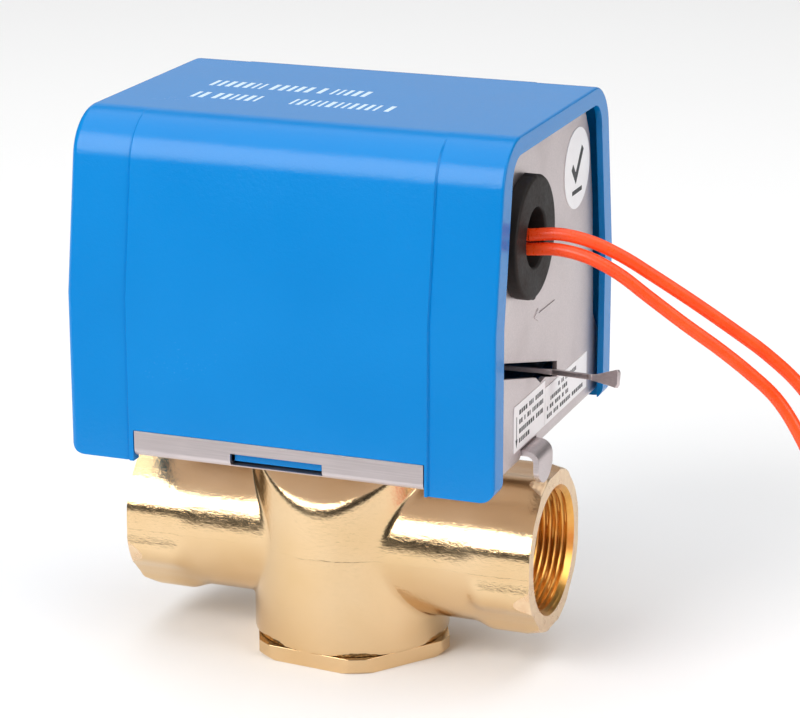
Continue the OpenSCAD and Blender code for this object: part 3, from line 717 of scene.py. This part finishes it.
def skin(name, field, low, high, voxel):
    """Closed mesh of the surface where a distance field is zero, its points settled onto it."""
    axes = [np.arange(a, b + voxel, voxel) for a, b in zip(low, high)]
    values = field(*np.meshgrid(*axes, indexing="ij"))
    values = np.clip(values, -3 * voxel, 3 * voxel).astype(np.float32)
    grid = openvdb.FloatGrid(background=3 * voxel)
    grid.copyFromArray(values)
    points, _, quads = grid.convertToPolygons(isovalue=0.0, adaptivity=0.0)
    points = points * voxel + np.array(low)
    step = 0.02
    for _ in range(3):
        x, y, z = points.T
        here = field(x, y, z)
        slope = np.stack([
            field(x + step, y, z) - field(x - step, y, z),
            field(x, y + step, z) - field(x, y - step, z),
            field(x, y, z + step) - field(x, y, z - step),
        ], 1) / (2 * step)
        points = points - (here / np.maximum((slope ** 2).sum(1), 0.3))[:, None] * slope
    obj = mesh_piece(name, points, quads)
    return edit(obj, outward)


def thread_radius(along, angle, radius):
    """Radius of the internal thread's cutter, along millimetres inside the port's face."""
    if along < -0.6 or along > THREAD_END:
        return radius
    phase = 2 * math.pi * along / THREAD_PITCH + angle
    sharpness = 0.94
    tooth = math.asin(sharpness * math.sin(phase)) / math.asin(sharpness)
    depth = THREAD_DEPTH * min(1.0, max(0.0, (14.6 - along) / 2.0))
    return max(THREAD_R + depth * (1 + tooth), radius)


def port_cutter(name, side):
    """Chamfered mouth, thread and waterway of one port, as a solid to take away."""
    profile = [(-2.0, 13.5), (-0.02, 13.5)]
    for i in range(110):
        along = 0.0 + i * 0.14
        profile.append((along, max(THREAD_R, 13.3 - 0.9 * along)))
    profile += [(15.5, THREAD_R), (16.2, 11.2), (17.6, 9.5), (PORT_X - 10, 9.5)]
    obj = turned(name, [(side * (PORT_X - a), r) for a, r in profile], (0, 0, PIPE_Z),
                 steps=112, wave=lambda x, angle, r: thread_radius(PORT_X - abs(x), angle, r))
    obj.data.materials.append(threaded)
    return obj


def valve_body():
    body = skin("valve_body_forging", forging, (-46, -22.5, 1.5), (46, 22.5, 48), 0.5)
    body.data.materials.append(materials["brass"])
    neck = turned("neck", [(43.5, 13.9), (46.9, 13.9), (47.3, 13.6), (47.3, 11), (48.3, 11),
                           (48.3, 8.4), (50.1, 8.4), (50.1, 11), (51.6, 11), (52, 10.6)],
                  (0, 0, 0), axis="Z")
    neck.data.materials.append(machined)
    combine(body, neck, "UNION")
    for side in (-1, 1):
        # the ends are faced and turned down to a round rim
        trim = [(38.0, 22), (38.0, 17.75), (40.5, 17.2), (43.25, 16.65), (PORT_X, 16.4),
                (PORT_X, 0.01), (48, 0.01), (48, 22)]
        cutter = ring_solid("trim", [(side * a, r) for a, r in trim], (0, 0, PIPE_Z))
        cutter.data.materials.append(machined)
        combine(body, cutter)
        combine(body, port_cutter("port", side))
    for profile in (
        [(-1, 16.6), (11, 16.6), (12, 15.5), (36, 15.5), (37, 14.5)],
        [(10, 3.05), (43.2, 3.05), (43.2, 5), (53, 5)],
    ):
        cutter = turned("bore", profile, (0, 0, 0), axis="Z")
        cutter.data.materials.append(machined)
        combine(body, cutter)
    smooth(body, 38)
    return finish_piece(body, "base", ["valve_body"], "brass")


valve_body()


# ---------------------------------------------------------------- cover

def cover_section(x, half, top, radius, bottom):
    """One ring of the cover's outline across the pipe."""
    centre = half + ((KNEE_Z - (top - radius)) * math.sin(LEAN) - radius) / math.cos(LEAN)
    ring = [(x, -half, bottom), (x, half, bottom), (x, half, KNEE_Z)]
    for i in range(25):
        angle = LEAN + (math.pi / 2 - LEAN) * i / 24
        ring.append((x, centre + radius * math.cos(angle),
                     top - radius + radius * math.sin(angle)))
    for i in range(25):
        angle = math.pi / 2 + (math.pi / 2 - LEAN) * i / 24
        ring.append((x, -centre + radius * math.cos(angle),
                     top - radius + radius * math.sin(angle)))
    ring.append((x, -half, KNEE_Z))
    return ring


def cover_shell():
    rings = []
    end_round = 1.6
    for i in range(7):
        a = math.radians(15 * i)
        inset = end_round * (1 - math.sin(a))
        rings.append(cover_section(COVER_X[0] + end_round * (1 - math.cos(a)),
                                   COVER_HALF - inset, COVER_TOP - inset, 10 - inset,
                                   COVER_BOTTOM))
    # the middle panel stands proud between two fine grooves
    for x, half in ((-32.6, COVER_HALF), (-32.25, 36.95), (-31.9, 37.5),
                    (30.0, 37.5), (30.35, 36.95), (30.7, COVER_HALF)):
        rings.append(cover_section(x, half, COVER_TOP, 10, COVER_BOTTOM))
    rim = 0.5
    for i in range(5):
        a = math.radians(22.5 * i)
        inset = rim * (1 - math.cos(a))
        rings.append(cover_section(COVER_X[1] - rim * (1 - math.sin(a)),
                                   COVER_HALF - inset, COVER_TOP - inset, 10 - inset,
                                   COVER_BOTTOM))
    shell = loft("cover_moulding", rings)
    shell.data.materials.append(materials["cover_blue"])
    combine(shell, loft("inside", [
        cover_section(x, 35.1, COVER_TOP - 2, 8, 40) for x in (COVER_X[0] + 2, COVER_X[1] - 1.3)]))
    combine(shell, loft("opening", [
        cover_section(x, 32.1, COVER_TOP - 3.6, 5, 40) for x in (COVER_X[1] - 3, COVER_X[1] + 1)]))
    combine(shell, box_piece("strip_gap", (-31, -50, 40), (29.5, 50, 52.6)))
    for side in (-1, 1):
        y = sorted((side * 34.8, side * 36.3))
        combine(shell, box_piece("tongue", (-9.9, y[0], 48.5), (8.2, y[1], 57.5)), "UNION")
    for x, turn in ((COVER_X[0], 1), (COVER_X[1], -1)):
        corner = [(x - turn, 45.3), (x + 3 * turn, 45.3)]
        for i in range(9):
            a = math.radians(270 - 90 * i / 8)
            corner.append((x + turn * (3 + 3 * math.cos(a)), 49.3 + 3 * math.sin(a)))
        corner.append((x - turn, 49.3))
        combine(shell, loft("corner", [[(p, y, z) for p, z in corner] for y in (-50, 50)]))
    edit(shell, weld, flatten)
    round_edges(shell, 0.3, 3, 32)
    return finish_piece(shell, "cover", ["cover"], "cover_blue")


cover_shell()


# ---------------------------------------------------------------- sheet metal and small pieces

def softened(node, name, body, width=0.12, angle=30, clamp=True):
    """A copy of a CAD node with its sharp edges rounded, shown in the node's place."""
    obj = link(name, frame["nodes"][node].data.copy())
    edit(obj, weld, flatten)
    round_edges(obj, width, 2, angle, clamp)
    edit(obj, weld)
    return finish_piece(obj, body, [node], slots[node])


softened("base_plate", "base_plate_sheet", "base", 0.15)
softened("release_latch", "release_latch_sheet", "latch", 0.18)
softened("manual_lever", "manual_lever_strip", "lever", 0.1, 40, clamp=False)
softened("bottom_cap", "bottom_cap_hexagon", "base", 0.35, 20)


def grommet():
    """Rubber grommet, with a nib of flash at the top and bottom of its flange."""
    centre = (END_X, -16, 93)
    profile = [
        (3.0, 6.25), (3.0, 11.3), (2.85, 11.75), (2.5, 12.0), (0.5, 12.0), (0.15, 11.85),
        (0.0, 11.5), (0.0, 8.0), (-1.0, 8.0), (-1.0, 10.2), (-1.3, 10.5), (-2.7, 10.5),
        (-3.0, 10.2), (-3.0, 6.1), (-2.7, 5.75), (2.55, 5.75), (2.85, 5.9),
    ]

    def nib(along, angle, radius):
        if radius < 11.6 or along < 0.4:
            return radius
        side = abs(math.sin(angle))
        return radius + 0.35 * max(0.0, 1 - (1 - side) / 0.0012)

    obj = ring_solid("cable_grommet_rubber", profile, centre, steps=144, wave=nib)
    smooth(obj, 50)
    return finish_piece(obj, "base", ["cable_grommet"], "rubber_black")


grommet()


# ---------------------------------------------------------------- springs

def return_spring():
    """Torsion spring round the stem, from the gear up to the post on the base."""
    coil_r = 7
    low = 59.2
    high = 61.9
    start = math.radians(60)
    sweep = math.radians(870)
    leg = 5
    points = [(9.96, 2.25, low)]
    for i in range(91):
        angle = start + sweep * i / 90
        points.append((coil_r * math.cos(angle), coil_r * math.sin(angle),
                       low + (high - low) * i / 90))
    last = start + sweep
    points.append((coil_r * math.cos(last) - leg * math.sin(last),
                   coil_r * math.sin(last) + leg * math.cos(last), high))
    obj = wire_mesh("return_spring_wire", points, 1.1, 3)
    obj.data.materials.append(materials["steel_bright"])
    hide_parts("return_spring")
    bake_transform(obj)


def latch_spring():
    """Compression spring behind the latch, of five turns."""
    coil_r = 1.5
    start_x = -24.7
    length = 6.4
    centre_z = 51
    points = []
    for i in range(121):
        angle = math.radians(15 * i)
        points.append((start_x + length * i / 120, coil_r * math.cos(angle),
                       centre_z + coil_r * math.sin(angle)))
    obj = wire_mesh("latch_spring_wire", points, 0.5, 2)
    obj.data.materials.append(materials["steel_bright"])
    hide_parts("latch_spring")
    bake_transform(obj)


return_spring()
latch_spring()


# ---------------------------------------------------------------- printing

def marks(name, shapes, place, depth, body, material):
    """Flat printed shapes. place(u, v, w) gives the point at u, v on the surface and w above it."""
    points, faces = [], []
    for shape in shapes:
        first = len(points)
        count = len(shape)
        points += [place(u, v, 0) for u, v in shape]
        points += [place(u, v, depth) for u, v in shape]
        faces.append(tuple(first + i for i in range(count)))
        faces.append(tuple(first + count + i for i in range(count)))
        for i in range(count):
            j = (i + 1) % count
            faces.append((first + i, first + j, first + count + j, first + count + i))
    obj = edit(mesh_piece(name, points, faces), outward)
    return finish_piece(obj, body, material=material)


def bar(u0, u1, v0, v1):
    return [(u0, v0), (u1, v0), (u1, v1), (u0, v1)]


def row_of_bars(rng, u0, u1, v, height, gap=0.35):
    """A row of short bars in groups, which reads as small print."""
    shapes = []
    u = u0
    while u < u1 - 0.6:
        width = rng.choice((0.55, 0.8, 1.0))
        shapes.append(bar(u, min(u + width, u1), v, v + height))
        u += width + gap
        if rng.random() < 0.18:
            u += 0.9
    return shapes


def on_end_plate(u, v, w):
    return (END_X + 0.15 + w, u, v)


def label_print():
    rng = random.Random(5)
    shapes = []
    for v, end in ((57.6, -1.6), (55.7, -1.6), (53.8, -1.6), (51.9, -9.5)):
        shapes += row_of_bars(rng, -16.6, end, v, 0.95)
    for v, start, end in ((56.4, 8.0, 20.0), (54.8, 3.0, 14.5), (53.2, 0.8, 15.0),
                          (51.5, 0.8, 25.5)):
        shapes += row_of_bars(rng, start, end, v, 0.85)
    shapes.append(bar(-18.3, -18.0, 52.6, 57.6))
    shapes.append([(-18.75, 53.0), (-17.55, 53.0), (-18.15, 51.3)])
    marks("instruction_label_print", shapes, on_end_plate, 0.02, "base", ink_black)


def sticker_print():
    tick = [(14.6, 98.9), (15.6, 100.0), (17.4, 98.0), (21.2, 102.9), (22.4, 101.9), (17.5, 95.6)]
    shapes = [tick, bar(15.2, 21.6, 93.6, 94.5)]
    marks("round_sticker_print", shapes, on_end_plate, 0.02, "base", ink_black)


def cover_print():
    rng = random.Random(11)
    shapes = row_of_bars(rng, -30, 4, -0.8, 5.0, 0.9)
    shapes += row_of_bars(rng, -29, -15, -12.2, 5.0, 0.9)
    shapes += row_of_bars(rng, -8, 14, -12.2, 5.0, 0.9)
    marks("cover_print", shapes, lambda u, v, w: (u, v, COVER_TOP + w), 0.02, "cover", ink_pale)


label_print()
sticker_print()
cover_print()


# ---------------------------------------------------------------- stage and light

def floor_material():
    paint = Paint("floor", (0.95, 0.95, 0.95), 0.7)
    paint.put("Roughness", paint.span(paint.noise(4, 2), 0.65, 0.75))
    return paint.material


def add_stage():
    floor = mesh_piece("floor", [(-4000, -3000, 0), (4000, -3000, 0), (4000, 5000, 0),
                                 (-4000, 5000, 0)], [(0, 1, 2, 3)])
    floor.data.materials.append(floor_material())


def add_light(name, at, aim, size, power, color=(1, 1, 1)):
    data = bpy.data.lights.new(name, "AREA")
    data.shape = "RECTANGLE"
    data.size = size[0]
    data.size_y = size[1]
    data.energy = power
    data.color = color
    light = link(name, data)
    light.location = at
    light.rotation_mode = "QUATERNION"
    light.rotation_quaternion = (Vector(aim) - Vector(at)).to_track_quat("-Z", "Y")


def add_flag(name, corners):
    """A dark card that only reflections see, so that bright metal gets its dark bands."""
    flag = link(name, bpy.data.meshes.new(name))
    flag.data.from_pydata(corners, [], [(0, 1, 2, 3)])
    flag.data.materials.append(moulded("flag", (0.02, 0.02, 0.02), 0.9, 0.01))
    flag.visible_camera = False
    flag.visible_diffuse = False
    flag.visible_shadow = False
    flag.visible_transmission = False


add_stage()
add_light("overhead", (0.0, 0.1, 1.8), (0, 0.1, 0), (2.4, 2.2), 29)
add_light("front", (-0.62, -1.15, 0.86), (0, 0, 0.05), (1.0, 1.0), 20)
add_light("right", (1.5, -0.35, 0.7), (0, 0, 0.06), (0.9, 1.0), 10)
add_light("back", (-0.5, 2.2, 0.9), (0, 0, 0.1), (2.6, 1.4), 6)
add_flag("flag_low", [(-1.6, -1.0, 0.004), (0.9, -1.0, 0.004), (0.9, -0.16, 0.004),
                      (-1.6, -0.16, 0.004)])
add_flag("flag_front", [(-1.6, -1.0, 0.0), (0.9, -1.0, 0.0), (0.9, -1.0, 0.27),
                        (-1.6, -1.0, 0.27)])

world = bpy.data.worlds.new("studio")
scene.world = world
world.use_nodes = True
world.node_tree.nodes["Background"].inputs["Color"].default_value = (1, 1, 1, 1)
world.node_tree.nodes["Background"].inputs["Strength"].default_value = 0.12
scene.view_settings.view_transform = "Standard"
